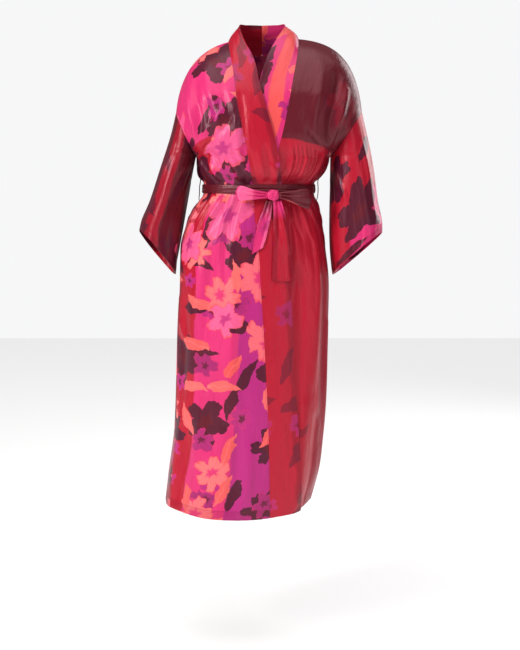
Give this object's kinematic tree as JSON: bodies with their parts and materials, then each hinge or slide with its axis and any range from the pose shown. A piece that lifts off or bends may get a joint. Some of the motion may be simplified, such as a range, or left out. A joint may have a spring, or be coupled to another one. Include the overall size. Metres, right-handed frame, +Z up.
{
  "type": "kimono robe",
  "caption": "Long satin kimono robe as worn: wide sleeves, a full-length neckband, right front lapped over left, and its own belt tied in a bow.",
  "frame": {"origin": "base of the neck between the shoulder seams, where the wearer's shoulders hold the robe", "axes": "+Z up along the body, -Y is the front, and -X is the wearer's right side"},
  "size_m": [0.6161, 0.304, 1.2284],
  "materials": {
    "satin_back": "satin",
    "satin_front_right": "satin",
    "satin_front_left": "satin",
    "satin_neckband_right": "satin",
    "satin_neckband_left": "satin",
    "satin_sleeve_right": "satin",
    "satin_sleeve_left": "satin",
    "satin_belt": "satin",
    "satin_bow_pink": "satin",
    "satin_tail_red": "satin"
  },
  "bodies": {
    "root": {"back": "satin_back", "front_right": "satin_front_right", "front_left": "satin_front_left", "neckband_right": "satin_neckband_right", "neckband_left": "satin_neckband_left", "sleeve_right": "satin_sleeve_right", "sleeve_left": "satin_sleeve_left", "belt_waist": "satin_belt", "belt_knot": "satin_bow_pink", "belt_bow_right": "satin_bow_pink", "belt_bow_left": "satin_belt", "belt_tail_over": "satin_tail_red", "belt_tail_under": "satin_belt", "belt_loop_right": "satin_belt", "belt_loop_left": "satin_belt"}
  },
  "joints": []
}
